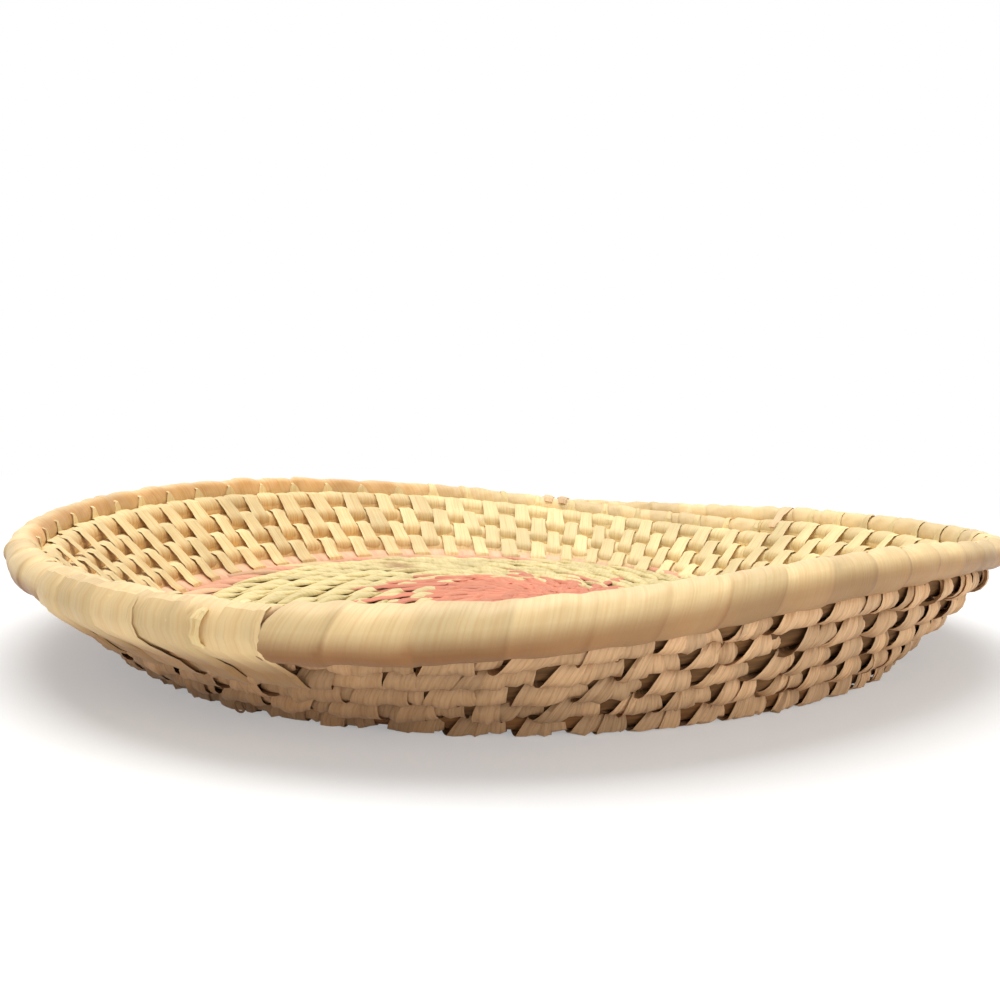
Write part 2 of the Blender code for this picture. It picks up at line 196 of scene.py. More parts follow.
def waves(angle, terms):
    """Sum of cosine waves: size times cos(count times the angle from the crest)."""
    return sum(size * np.cos(count * (angle - math.radians(crest))) for count, size, crest in terms)


def smooth(x):
    """Eased step from 0 to 1: three x squared less two x cubed."""
    x = np.clip(x, 0.0, 1.0)
    return x * x * (3 - 2 * x)


def facing(angle, crest, least, span):
    """How far an angle round the tray lies towards a crest: an eased step of their cosine."""
    return smooth((np.cos(angle - math.radians(crest)) - least) / span)


def direction(vector):
    """Each vector divided by its length."""
    return vector / np.maximum(np.linalg.norm(vector, axis=-1, keepdims=True), 1e-9)


def turn_angle(s):
    """Angle round the tray of turn count s, which starts where the turns climb."""
    return math.radians(CLIMB_START) + 2 * math.pi * np.asarray(s, float)


def floor_turns():
    """Turns of the floor's spiral: its radius over the pitch."""
    return sizes().base_radius / sizes().coil_pitch


def coil_start():
    """The s where the coil starts, three quarters of a pitch from the axis."""
    return 1.75 - floor_turns()


def level(s):
    """Row of the coil at s.

    It is a steady spiral at the centre and, towards the edge, level turns with one short climb.
    """
    turn = np.floor(s)
    part = s - turn
    stepped = np.clip(1 + s / floor_turns(), 0.0, 1.0)
    return turn - 1 + stepped * smooth(part / CLIMB_SHARE) + (1 - stepped) * part


def outline_factor(angle):
    """Radius of the floor as a multiple of its mean: 1 and the outline's waves."""
    return 1 + waves(angle, BASE_WAVES)


def row_place(row, angle):
    """Radius and height of a whole row: above the floor each adds its pitch up the leaning wall."""
    p = sizes()
    edge = p.base_radius * outline_factor(angle)
    if row < 0:
        height = SIDE_RATIO * p.core_half * outline_factor(angle) - p.stand_cut
        return np.stack([edge * (1 + row / floor_turns()), height], -1)
    place = np.stack([edge, np.full_like(edge, p.edge_height)], -1)
    for climbed in range(1, row + 1):
        pitch = p.rim_pitch if climbed > WALL_TURNS else p.coil_pitch
        lost = LEAN_LOSS_PER_ROW * (climbed - MIDDLE_ROW)
        lean = np.radians(WALL_LEAN + waves(angle, LEAN_WAVES) - lost)
        place = place + pitch * np.stack([np.sin(lean), np.cos(lean)], -1)
    return place


def level_place(rows, angle):
    """Radius and height at any level.

    The floor is a low dome, and above it straight steps join the whole rows.
    """
    p = sizes()
    turns = floor_turns()
    inner = np.minimum(rows, -1.0)
    edge = p.base_radius * outline_factor(angle)
    share = (turns + inner) / (turns - 1)
    dome = p.floor_dome * (1 - share ** 2)
    height = SIDE_RATIO * p.core_half * outline_factor(angle) - p.stand_cut + dome
    place = np.stack([edge * (1 + inner / turns), height], -1)
    whole = [row_place(row, angle) for row in range(-1, RIM_START + 1)]
    for i, row in enumerate(range(-1, RIM_START)):
        place = place + (whole[i + 1] - whole[i]) * np.clip(rows - row, 0.0, 1.0)[..., None]
    return place


def taper_half(s):
    """The end of the rim thins so that its top stays level while the turn below it climbs."""
    p = sizes()
    below = smooth((s - RIM_END) / CLIMB_SHARE)
    under_half = p.core_half + (p.rim_half - p.core_half) * below
    room = (1 - below) * p.rim_pitch + p.rim_half - p.tip_gap - under_half
    return np.maximum(room / 2, 0.1 * MM)


def half_height(s):
    """Half thickness of the coil: it follows the outline on the floor and swells at the rim."""
    p = sizes()
    floor = p.core_half * outline_factor(turn_angle(s))
    wall = floor + (p.core_half - floor) * smooth(s / CLIMB_SHARE)
    rim = wall + (p.rim_half - wall) * smooth((s - RIM_START) / CLIMB_SHARE)
    return np.where(s > RIM_END, taper_half(s), rim)


def coil_place(s):
    """Radius and height of the coil's middle; past the rim's full turn it lies on the one below."""
    angle = turn_angle(s)
    place = level_place(np.minimum(level(s), RIM_START), angle)
    if np.max(s) <= RIM_END:
        return place
    under = level_place(level(s - 1), angle)
    up = level_place(level(s - 1) + 0.01, angle) - level_place(level(s - 1) - 0.01, angle)
    rest = half_height(s - 1) + sizes().tip_gap + taper_half(s)
    tapered = under + direction(up) * rest[..., None]
    joined = smooth((s - RIM_END) / (0.1 * CLIMB_SHARE))[..., None]
    return place * (1 - joined) + tapered * joined


def frames(s):
    """Directions to the turn above and from the one below, in an upright plane through the axis."""
    here = coil_place(s)
    above = direction(coil_place(s + 1) - here)
    below = direction(here - coil_place(s - 1))
    first = (s - 1 < coil_start())[..., None]
    last = (s + 1 > TIP_END)[..., None]
    return np.where(last, below, above), np.where(first, above, below)


def outward(up):
    """Up turned away from the axis by a quarter turn."""
    return np.stack([up[..., 1], -up[..., 0]], -1)


def in_space(s, plane):
    """Turn radius and height at the angle of s into a point in space, round the spiral's axis."""
    angle = turn_angle(s)
    x, y = axis_place()
    radius, height = plane[..., 0], plane[..., 1]
    return np.stack([x + radius * np.cos(angle), y + radius * np.sin(angle), height], -1)


def on_coil(s, side_angle, lift):
    """A point on the coil's oval section, lifted off it.

    The side angle is 0 towards the next turn, 90 on the outside, 180 towards the turn before and
    270 on the inside. Along is half times cosine, and across is half times the side ratio times
    sine.
    """
    s = np.asarray(s, float)
    turned = np.radians(side_angle)
    up, down = frames(s)
    side = direction(outward(up) + outward(down))
    pointing = np.where((np.cos(turned) > 0)[..., None], up, down)
    half = half_height(s)
    along = (half + lift) * np.cos(turned)
    across = (SIDE_RATIO * half + lift) * np.sin(turned)
    plane = coil_place(s) + along[..., None] * pointing + across[..., None] * side
    return in_space(s, plane)


def stitch_place(number):
    """The s of a stitch number: stitches lie closer together at the back than at the front."""
    count = sizes().stitches
    number = np.asarray(number, float)
    s = number / count
    for _ in range(12):
        s = number / count + CROWDING_AT_BACK / (2 * math.pi) * np.cos(turn_angle(s))
    return s


def stitch_number(s):
    """The stitch number at s: stitches to a turn times s, less the crowding at the back."""
    return sizes().stitches * (s - CROWDING_AT_BACK / (2 * math.pi) * np.cos(turn_angle(s)))


# Meshes


WEAR = 0.15 * MM
WEAR_FADE = 0.5 * MM
SHARP_FROM = math.radians(32)


def new_object(name, data):
    """A fresh object in the scene, at the origin and unturned."""
    item = bpy.data.objects.new(name, data)
    bpy.context.scene.collection.objects.link(item)
    return item


def grid_piece(name, points, coords, facts, material, nodes=(), slot=None):
    """One object from grids of points: (items, steps along, points across, 3).

    Neighbouring points are joined by faces, across also from the last to the first, and the two
    ends of an item are closed. The faces are turned outwards by the sign of the volume that they
    enclose. Where the tray is worn flat, heights below the wear are pressed together by an
    exponential and keep their order, so that no two faces lie in one plane.
    """
    items, steps, width = points.shape[:3]
    index = np.arange(items * steps * width).reshape(items, steps, width)
    across = np.roll(index, -1, axis=2)
    quads = np.stack([index[:, :-1], across[:, :-1], across[:, 1:], index[:, 1:]], -1)
    quads = quads.reshape(-1, 4)
    flat = points.reshape(-1, 3).copy()
    height = flat[:, 2]
    pressed = WEAR * np.exp((np.minimum(height, WEAR) - WEAR) / WEAR_FADE)
    flat[:, 2] = np.where(height > WEAR, height, pressed)
    corners = flat[quads]
    middle = corners.mean(axis=1)
    areas = np.cross(corners[:, 2] - corners[:, 0], corners[:, 3] - corners[:, 1])
    inside_out = float((middle * areas).sum()) < 0
    faces = (quads[:, ::-1] if inside_out else quads).tolist()
    caps = np.concatenate([index[:, 0, ::-1], index[:, -1]])
    faces += (caps[:, ::-1] if inside_out else caps).tolist()
    mesh = bpy.data.meshes.new(name)
    mesh.from_pydata(flat.tolist(), [], faces)
    loops = np.empty(len(mesh.loops), np.int64)
    mesh.loops.foreach_get("vertex_index", loops)
    layer = mesh.uv_layers.new(name="strip")
    layer.data.foreach_set("uv", coords.reshape(-1, 2)[loops].ravel().astype(np.float32))
    for fact, values in facts.items():
        made = mesh.attributes.new(fact, "FLOAT", "POINT")
        spread = np.broadcast_to(values, points.shape[:3])
        made.data.foreach_set("value", np.ascontiguousarray(spread, dtype=np.float32).ravel())
    mesh.polygons.foreach_set("use_smooth", np.ones(len(mesh.polygons), bool))
    mesh.set_sharp_from_angle(angle=SHARP_FROM)
    mesh.materials.append(material)
    mesh.validate()
    item = new_object(name, mesh)
    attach(item, "root")
    if nodes:
        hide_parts(*nodes)


STRIP_COLUMNS = np.array([-1.0, -0.55, 0.0, 0.55, 1.0, 0.6, -0.6])
STRIP_TOP = np.array([0.45, 0.9, 1.0, 0.9, 0.45, 0.0, 0.0])
FAN_COLUMNS = np.array([-1.0, -0.72, -0.3, 0.1, 0.45, 0.8, 1.0, 0.5, -0.5])
FAN_TOP = np.array([0.4, 0.85, 1.0, 0.8, 1.05, 0.85, 0.4, 0.0, 0.0])
RIBBON_ASIDE = 0.56
RIBBON_TILT = 0.4 * MM
FIBRES_ACROSS = 24


def rim_swell(s):
    """Swell of the rim, thick at the front and thin elsewhere: an eased hump of the cosine."""
    share = smooth((s - RIM_START) / 0.2)
    hump = facing(turn_angle(s), 262, 0.25, 0.75)
    return share * (1.9 * hump - 0.4) * MM


def closeness(angle):
    """Share by which the fans close up: nearly shut at the front left and open elsewhere."""
    return 0.75 * facing(angle, 216, 0.35, 0.5)


def strips(
        numbers, stations, seed, wander=0.035, columns=STRIP_COLUMNS, top=STRIP_TOP,
        creases=0.16, fan=None):
    """Flat strips over the coil, one for each stitch number.

    A station is (turns below, side angle, place along the stitch, half width, lift in millimetres),
    and places and widths are shares of the step from stitch to stitch. The strip runs through its
    stations, between turns in a straight line, and is a lens in section: full thickness in the
    middle and about half of it at the edges. Each strip wanders and its top is creased at random.
    One ribbon of a fan lies at -1, 0 or 1 across it: its middle is a share of the fan's half width
    to that side, it is about half as wide as the fan, and its foot ends unevenly. The side at -1 is
    raised and the side at 1 sinks in. The fans are browner at the front left: painted shade.
    """
    p = sizes()
    rng = np.random.default_rng(seed)
    station = np.array(stations, float)
    count, steps, width = len(numbers), len(station), len(columns)
    shape = (count, steps, width)
    low, angle, place, half, lift = (station[:, i][None, :, None] for i in range(5))
    half, lift = half * p.strip_width, lift * MM
    each = (count, 1, 1)
    shifted = rng.normal(0, wander, each)
    leaning = rng.normal(0, wander, each) * np.linspace(-1, 1, steps)[None, :, None]
    widened = 1 + rng.normal(0, 0.09, each)
    number = np.asarray(numbers, float)[:, None, None] + place + shifted + leaning
    if fan is not None:
        close = closeness(turn_angle(stitch_place(number)))
        half = half + (0.5 - half) * close
        number = number + RIBBON_ASIDE * fan * half
        half = (0.50 + 0.10 * rng.uniform(-1, 1, each)) * half
        angle = angle + rng.normal(0, 7, each) * np.linspace(0, 1, steps)[None, :, None] ** 2
        lift = lift + rng.uniform(-0.4, 0.4, each) * MM * np.linspace(0.3, 1, steps)[None, :, None]
        lift = lift - RIBBON_TILT * fan
    s = stitch_place(number + columns[None, None, :] * half * widened)
    crease = rng.normal(0, creases, (count, 1, width)) * (top > 0)
    height = lift + p.strip_thickness * (top + crease)
    points = 0
    for below in range(int(np.ceil(low.max())) + 1):
        share = np.clip(1 - np.abs(low - below), 0, 1)
        lifted = height + (rim_swell(s) if below == 0 else 0)
        placed = on_coil(s - below, np.broadcast_to(angle, shape), lifted)
        points = points + placed * share[..., None]
    across = columns[None, None, :] * FIBRES_ACROSS * half + rng.uniform(0, 40, each)
    coords = np.stack(np.broadcast_arrays(across, np.linspace(0, 1, steps)[None, :, None]), -1)
    # Painted shade: each strip goes towards its deep colour where it dives under the turn below
    facts = {"tone": rng.uniform(0, 1, each), "dive": dive_shade_share(low, angle)}
    if fan is None:
        # Painted light lessens the painted shade at the back right of the inside
        facts["dive"] = faded(facts["dive"], s)
    else:
        # Painted shade: the fans are browner at the front left
        facts["worn"] = 0.45 * facing(turn_angle(s), 222, 0.5, 0.4)
    return points, coords, facts


def faded(dive, s):
    """Painted light at the inside's back right: a dive's painted shade is shallower there by an
    eased cosine.
    """
    pale = facing(turn_angle(s), 45, 0.1, 0.6)
    return dive * (1 - 0.7 * pale) - 0.3 * pale


def dive_shade_share(low, angle):
    """Painted shade: how far a strip is down on the lower turn's side, eased from shoulder to foot.
    """
    foot = smooth((0.55 - np.cos(np.radians(angle))) / 1.5)
    return np.clip(low, 0, 1) * foot


def joined(parts):
    """Grids of one width, one after another, as one set."""
    points = [part[0] for part in parts]
    coords = [part[1] for part in parts]
    facts = {
        key: np.concatenate([np.broadcast_to(part[2][key], part[0].shape[:3]) for part in parts])
        for key in parts[0][2]}
    return np.concatenate(points), np.concatenate(coords), facts


# Materials


STRIP_IOR = 1.45


def linear(colour):
    """sRGB hex to linear: a power of 2.4 above the short straight foot."""
    parts = [int(colour[i:i + 2], 16) / 255 for i in (1, 3, 5)]
    return [c / 12.92 if c <= 0.04045 else ((c + 0.055) / 1.055) ** 2.4 for c in parts] + [1.0]


def add(tree, kind, inputs, **settings):
    """Add a node, set its settings, and give its inputs a value or a link."""
    made = tree.nodes.new("ShaderNode" + kind)
    for key, value in settings.items():
        setattr(made, key, value)
    for key, value in inputs.items():
        if isinstance(value, bpy.types.NodeSocket):
            tree.links.new(value, made.inputs[key])
        else:
            made.inputs[key].default_value = value
    return made


def new_material(name, **values):
    """A fresh material, its nodes and its shader, whose own sockets get the values."""
    made = bpy.data.materials.new(name)
    made.use_nodes = True
    shader = made.node_tree.nodes["Principled BSDF"]
    for key, value in values.items():
        shader.inputs[key.replace("_", " ")].default_value = value
    return made, made.node_tree, shader


def leaf_strip(name, pale, deep, roughness, tone_swing, veins=0.5, worn_and_shaded_to=WORN_AND_SHADED_BROWN):
    """Dried leaf strip, split and laid flat: satin, with fine fibres along it, paler where painted
    light lies.

    The strip's own coordinates run across it in steps of 0.5 to 0.9 mm and along it from 0 to 1
    or 2, so fibres are noise that is stretched along the strip. Its tone varies in blotches about
    14 mm wide. Where it dives it goes deeper by painted shade. It is brown where it is stained and
    where painted shade lies, and where the sun has bleached its dye, pale.
    """
    made, tree, shader = new_material(
        name, Roughness=roughness, IOR=STRIP_IOR, Metallic=0.0, Specular_IOR_Level=0.35)
    tone, dive, worn = (
        add(tree, "Attribute", {}, attribute_name=fact).outputs["Fac"]
        for fact in ("tone", "dive", "worn"))
    uv = add(tree, "UVMap", {}, uv_map="strip")
    stretched = add(tree, "Mapping", {"Vector": uv.outputs[0], "Scale": (0.9, 1.3, 1.0)})
    fibre = add(tree, "TexNoise", {
        "Vector": stretched.outputs[0], "Scale": 1.0, "Detail": 3.0, "Roughness": 0.62})
    place = add(tree, "TexCoord", {})
    blotch = add(tree, "TexNoise", {
        "Vector": place.outputs["Object"], "Scale": 70.0, "Detail": 2.0})
    shade = add(tree, "MapRange", {
        "Value": fibre.outputs["Fac"], "From Min": 0.40, "From Max": 0.68, "To Max": veins})
    # Painted shade: the dive darkens the strip towards its deep colour
    darker = add(tree, "Math", {0: dive, 1: 0.5}, operation="MULTIPLY")
    summed = add(
        tree, "Math", {0: shade.outputs[0], 1: darker.outputs[0]}, operation="ADD", use_clamp=True)
    mixed = add(
        tree, "Mix", {0: summed.outputs[0], 6: linear(pale), 7: linear(deep)}, data_type="RGBA")
    swing = add(tree, "MapRange", {"Value": tone, "To Min": 1 - tone_swing, "To Max": 1.06})
    patch = add(tree, "MapRange", {
        "Value": blotch.outputs["Fac"],
        "From Min": 0.3, "From Max": 0.7, "To Min": 0.90, "To Max": 1.06})
    value = add(tree, "Math", {0: swing.outputs[0], 1: patch.outputs[0]}, operation="MULTIPLY")
    # Brown by real stains and by painted shade, or pale where the sun has bleached the dye
    browned = add(tree, "Mix", {0: worn, 6: mixed.outputs[2], 7: linear(worn_and_shaded_to)}, data_type="RGBA")
    toned = add(tree, "HueSaturation", {"Color": browned.outputs[2], "Value": value.outputs[0]})
    tree.links.new(toned.outputs[0], shader.inputs["Base Color"])
    ridges = add(tree, "Bump", {
        "Height": fibre.outputs["Fac"], "Strength": 0.55, "Distance": 0.35 * MM})
    tree.links.new(ridges.outputs[0], shader.inputs["Normal"])
    return made


def coil_material(name, pale, deep, grass):
    """Bundled dry grass under leaf strip wraps: the wraps pale and satin, the grass brown and matt.

    The coordinates run along the coil in centimetres and once round it from 0 to 1. Stems are
    noise that is stretched along the coil, a little over 1 mm apart, and the fibres of the wraps
    are noise that is stretched round it, 0.9 mm apart.
    """
    made, tree, shader = new_material(name, IOR=STRIP_IOR, Metallic=0.0)
    wrapped, dive = (
        add(tree, "Attribute", {}, attribute_name=fact).outputs["Fac"]
        for fact in ("wrapped", "dive"))
    uv = add(tree, "UVMap", {}, uv_map="strip")
    along = add(tree, "Mapping", {"Vector": uv.outputs[0], "Scale": (0.7, 16.0, 1.0)})
    stems = add(tree, "TexNoise", {"Vector": along.outputs[0], "Scale": 1.0, "Detail": 3.0})
    across = add(tree, "Mapping", {"Vector": uv.outputs[0], "Scale": (11.0, 1.5, 1.0)})
    fibre = add(tree, "TexNoise", {
        "Vector": across.outputs[0], "Scale": 1.0, "Detail": 3.0, "Roughness": 0.62})
    shade = add(tree, "MapRange", {"Value": stems.outputs["Fac"], "From Min": 0.3, "From Max": 0.7})
    dark = [0.4 * part for part in linear(grass)[:3]] + [1.0]
    bare = add(tree, "Mix", {0: shade.outputs[0], 6: dark, 7: linear(grass)}, data_type="RGBA")
    vein = add(tree, "MapRange", {
        "Value": fibre.outputs["Fac"], "From Min": 0.36, "From Max": 0.72, "To Max": 0.5})
    # Painted shade: the wraps go deeper on the side towards the turn before
    foot = add(tree, "Math", {0: dive, 1: 0.42}, operation="MULTIPLY")
    deepened = add(
        tree, "Math", {0: vein.outputs[0], 1: foot.outputs[0]}, operation="ADD", use_clamp=True)
    wrap = add(
        tree, "Mix", {0: deepened.outputs[0], 6: linear(pale), 7: linear(deep)}, data_type="RGBA")
    both = add(tree, "Mix", {0: wrapped, 6: bare.outputs[2], 7: wrap.outputs[2]}, data_type="RGBA")
    tree.links.new(both.outputs[2], shader.inputs["Base Color"])
    height = add(
        tree, "Mix", {0: wrapped, 2: stems.outputs["Fac"], 3: fibre.outputs["Fac"]},
        data_type="FLOAT")
    ridges = add(tree, "Bump", {"Height": height.outputs[0], "Strength": 0.7, "Distance": 0.4 * MM})
    tree.links.new(ridges.outputs[0], shader.inputs["Normal"])
    rough = add(tree, "MapRange", {"Value": wrapped, "To Min": 0.85, "To Max": 0.5})
    tree.links.new(rough.outputs[0], shader.inputs["Roughness"])
    return made


def shared_strip(name, *looks):
    """A leaf strip material that several pieces share."""
    return bpy.data.materials.get(name) or leaf_strip(name, *looks)


def strip_material():
    """Dried leaf strip as it is: straw coloured, with painted shade going deeper where it dives."""
    return shared_strip("dried_leaf_strip", colours().strip_pale, colours().strip_deep, 0.5, 0.16)


def outside_material():
    """Dried leaf strip of the outside: a tanner copy of the strip as painted shade, browner where
    it dives.
    """
    return shared_strip("shaded_outside_leaf_strip", colours().shaded_outside, OUTSIDE_SHADE_DEEP, 0.55, 0.28)


# The pieces


def coil_tube(name, start, end, per_turn, section, material, nodes, slot):
    """The coil as a tube: the oval section carried along the turns from start to end.

    Wrapped is 1 where the coil shows its pale wraps, on the inside of the wall, and 0 where the
    bare grass shows, on the outside and under the floor's stitches. The grass bulges towards the
    turns on both sides by the fourth power of the cosine, so that no light falls through.
    """
    steps = int((end - start) * per_turn) + 1
    s = np.linspace(start, end, steps)[:, None]
    angle = (180 + np.arange(section) * 360 / section)[None, :]
    shape = (steps, section)
    s, angle = np.broadcast_to(s, shape), np.broadcast_to(angle, shape)
    turned = np.radians(angle)
    wrapped = smooth(s / 0.1) * smooth((0.35 - np.sin(turned)) / 0.5)
    bulge = (1.2 + 0.6 * smooth(2.2 - s)) * MM * np.cos(turned) ** 4
    points = on_coil(s, angle, 0.12 * MM * wrapped - 0.1 * MM + bulge)
    radius = coil_place(s)[..., 0]
    along = 2 * math.pi * s * np.mean(radius) / (10 * MM)
    coords = np.stack([along, (angle - 180) / 360.0], -1)
    # Painted shade on the coil's side towards the turn before, lessened by painted light at the
    # back right
    under = faded(smooth((0.5 - np.cos(turned)) / 1.5), s)
    facts = {"wrapped": wrapped[None], "dive": under[None]}
    grid_piece(name, points[None], coords[None], facts, material, nodes, slot)


WALL_INSIDE = (
    (1.0, 192, 0.00, 0.20, 0.10),
    (1.0, 218, 0.00, 0.25, 0.30),
    (1.0, 245, 0.00, 0.26, 0.45),
    (1.0, 268, 0.01, 0.25, 0.50),
    (1.0, 292, 0.01, 0.23, 0.60),
    (0.5, 275, 0.02, 0.21, 0.60),
    (0.0, 252, 0.03, 0.20, 0.80),
    (0.0, 275, 0.03, 0.20, 0.80),
    (0.0, 305, 0.04, 0.20, 0.60),
    (0.0, 334, 0.06, 0.18, 0.30),
    (0.0, 362, 0.20, 0.14, 0.10),
    (0.0, 385, 0.40, 0.10, 0.00),
)

WALL_OUTSIDE = (
    (1.0, 372, 0.67, 0.21, 0.20),
    (1.0, 396, 0.63, 0.29, 0.50),
    (1.0, 418, 0.59, 0.36, 0.65),
    (1.0, 440, 0.56, 0.41, 0.70),
    (1.0, 462, 0.54, 0.45, 0.70),
    (1.0, 484, 0.52, 0.48, 0.65),
    (1.0, 504, 0.50, 0.50, 0.50),
    (1.0, 524, 0.50, 0.48, 0.10),
)


MIDDLE_RAISED = 0.25


def fans(numbers, stations, seed):
    """Three ribbons to a fan: the two sides, and the middle one on top of them."""
    raised = [(*station[:4], station[4] + MIDDLE_RAISED) for station in stations]
    rng = np.random.default_rng(seed)
    apart = numbers + rng.normal(0, 0.07, len(numbers))
    sides = [
        strips(apart, stations, seed + 200 + side, wander=0.045, fan=side, creases=0.6)
        for side in (-1, 1)]
    return joined(sides + [strips(apart, raised, seed + 400, wander=0.08, fan=0, creases=0.6)])


def wall_row(row):
    """Long stitches of one wall row: up the inside over two turns, down the outside in a fan."""
    first = math.ceil(stitch_number(np.float64(row)))
    last = math.ceil(stitch_number(np.float64(row + 1)))
    numbers = np.arange(first, last)
    inside = strips(numbers, WALL_INSIDE, seed=row)
    outside = fans(numbers, WALL_OUTSIDE, row + 10)
    stitches = [f"wall_stitches_row_{row}"]
    grid_piece(f"wall_strips_row_{row}", *inside, strip_material(), stitches, "natural_strip")
    grid_piece(f"wall_fans_row_{row}", *outside, outside_material(), (), "natural_strip")


LOOP_CENTRE = np.array([-60.8, -100.8, 2.4]) * MM
LOOP_TURN = 235.3
LOOP_HALF = 0.3 * MM


def loose_loop():
    """A strip's end that stands off as a small loop: a tube round most of an upright ellipse."""
    turned = math.radians(LOOP_TURN)
    out = np.array([math.cos(turned), math.sin(turned), 0.0])
    along = np.array([-math.sin(turned), math.cos(turned), 0.0])
    t = np.linspace(0, 1.9 * math.pi, 20)[:, None]
    round_tube = np.arange(6) * math.pi / 3
    reach = LOOP_HALF * np.cos(round_tube)
    aside = LOOP_HALF * np.sin(round_tube)
    width, height = 1.6 * MM + reach, 1.3 * MM + reach
    spread = (width * np.cos(t))[..., None] * along + aside[None, :, None] * out
    points = LOOP_CENTRE + spread + (height * np.sin(t))[..., None] * np.array([0.0, 0.0, 1.0])
    coords = np.stack(np.broadcast_arrays(round_tube, t / 6), -1)
    facts = {"tone": 0.2, "worn": 0.8}
    grid_piece(
        "loose_strip_end", points[None], coords[None], facts, outside_material(), (),
        "natural_strip")


RIM_INSIDE = (
    (1.0, 200, 0.00, 0.30, 0.05),
    (1.0, 225, 0.00, 0.36, 0.15),
    (1.0, 255, 0.00, 0.37, 0.20),
    (1.0, 290, 0.00, 0.37, 0.35),
    (1.0, 316, 0.00, 0.30, 0.80),
    (1.0, 336, 0.00, 0.16, 1.00),
    (0.0, 228, 0.00, 0.10, 0.60),
    (0.0, 258, 0.01, 0.08, 0.30),
    (0.0, 285, 0.02, 0.08, 0.25),
    (0.0, 312, 0.04, 0.08, 0.05),
    (0.0, 335, 0.06, 0.08, -0.4),
)

RIM_OUTSIDE = (
    (1.0, 372, 0.63, 0.29, 0.30),
    (1.0, 398, 0.60, 0.35, 0.60),
    (1.0, 420, 0.57, 0.40, 0.75),
    (1.0, 440, 0.55, 0.43, 0.80),
    (1.0, 462, 0.53, 0.46, 0.75),
    (1.0, 484, 0.52, 0.48, 0.65),
    (1.0, 504, 0.50, 0.50, 0.50),
    (1.0, 524, 0.50, 0.48, 0.10),
)


def rim_material():
    """Wrapped leaf strip, smoothed by use: cream on top and, by painted shade, brown underneath."""
    c = colours()
    return shared_strip("wrapped_rim_strip", c.rim_pale, c.strip_deep, 0.45, 0.16, 0.3)


WRAP_STEP = 0.93
WRAP_LINES = 18
RIM_SECTION = 28
MOST_WRAPS = 400
FOLD = 0.8 * MM
FRONT_FOLDS = np.array([0.6, 0.5, 0.15, 0.2, 0.25, 0.6, 0.2, 0.35, 0.3, 0.85, 0.7, 0.75])


def edge_number():
    """The stitch number of the raised edge at the front left."""
    return float(stitch_number(np.float64(RIM_START + (WRAP_EDGE - CLIMB_START) / 360)))


